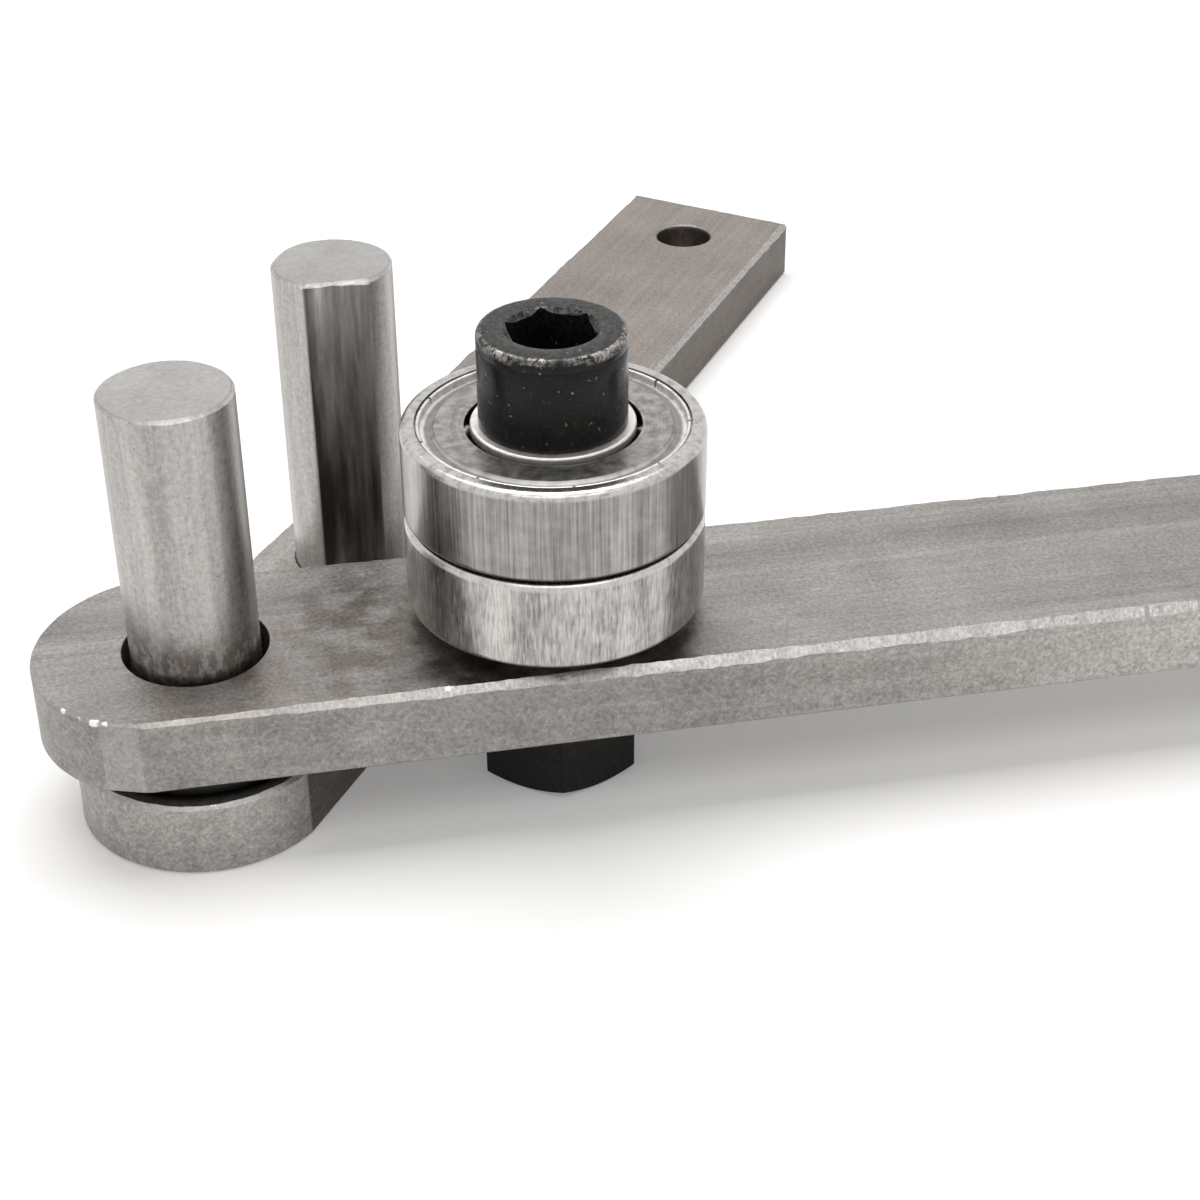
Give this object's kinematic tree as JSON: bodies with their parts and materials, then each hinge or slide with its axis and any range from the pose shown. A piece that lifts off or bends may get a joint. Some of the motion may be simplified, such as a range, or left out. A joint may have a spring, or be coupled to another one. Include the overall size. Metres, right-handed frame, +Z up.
{
  "type": "manual wire bender",
  "caption": "Hand tool for bending rod: two flat bars on a pivot pin, a stop pin on the lower bar and ball bearing rollers on the lever.",
  "frame": {"origin": "on the pivot axis, level with the underside of the lower arm", "axes": "+X along the lower arm from the pivot, +Z up along the pins; the lever lies 56 degrees clockwise of +X at rest"},
  "size_m": [0.2032, 0.1802, 0.0611],
  "materials": {
    "bar_steel": "ground mill bar, satin",
    "pin_steel": "turned and scuffed bar",
    "weld_steel": "weld ground flush",
    "washer_steel": "zinc plated",
    "black_steel": "black oxide, slightly worn",
    "bearing_steel": "ground and polished",
    "pressed_steel": "pressed sheet, satin"
  },
  "bodies": {
    "base": {"lower_arm": "bar_steel", "pivot_pin": "pin_steel", "stop_pin": "pin_steel", "pin_welds": "weld_steel", "pivot_washer": "black_steel"},
    "lever": {"lever_arm": "bar_steel", "roller_bolt": "black_steel", "roller_washer": "washer_steel", "nut_washer": "washer_steel", "bolt_nut": "black_steel", "upper_inner_ring": "bearing_steel", "lower_inner_ring": "bearing_steel"},
    "upper_roller": {"upper_outer_ring": "bearing_steel", "upper_shield_top": "pressed_steel", "upper_shield_bottom": "pressed_steel"},
    "upper_cage": {"upper_balls": "bearing_steel", "upper_cage_top": "pressed_steel", "upper_cage_bottom": "pressed_steel", "upper_cage_rivets": "pressed_steel"},
    "lower_roller": {"lower_outer_ring": "bearing_steel", "lower_shield_top": "pressed_steel", "lower_shield_bottom": "pressed_steel"},
    "lower_cage": {"lower_balls": "bearing_steel", "lower_cage_top": "pressed_steel", "lower_cage_bottom": "pressed_steel", "lower_cage_rivets": "pressed_steel"}
  },
  "joints": [
    {"name": "lever_swing", "type": "hinge", "parent": "base", "child": "lever", "pos_m": [0, 0, 0.0176], "axis": [0, 0, 1], "range_deg": [-265, 19]},
    {"name": "upper_roller_spin", "type": "hinge", "parent": "lever", "child": "upper_roller", "pos_m": [0.02516, -0.03731, 0.0431], "axis": [0, 0, 1], "continuous": true},
    {"name": "upper_cage_spin", "type": "hinge", "parent": "lever", "child": "upper_cage", "pos_m": [0.02516, -0.03731, 0.0431], "axis": [0, 0, 1], "continuous": true},
    {"name": "lower_roller_spin", "type": "hinge", "parent": "lever", "child": "lower_roller", "pos_m": [0.02516, -0.03731, 0.0311], "axis": [0, 0, 1], "continuous": true},
    {"name": "lower_cage_spin", "type": "hinge", "parent": "lever", "child": "lower_cage", "pos_m": [0.02516, -0.03731, 0.0311], "axis": [0, 0, 1], "continuous": true}
  ],
  "couplings": [
    {"joint": "upper_cage_spin", "follows": "upper_roller_spin", "ratio": 0.6601},
    {"joint": "lower_cage_spin", "follows": "lower_roller_spin", "ratio": 0.6601}
  ]
}
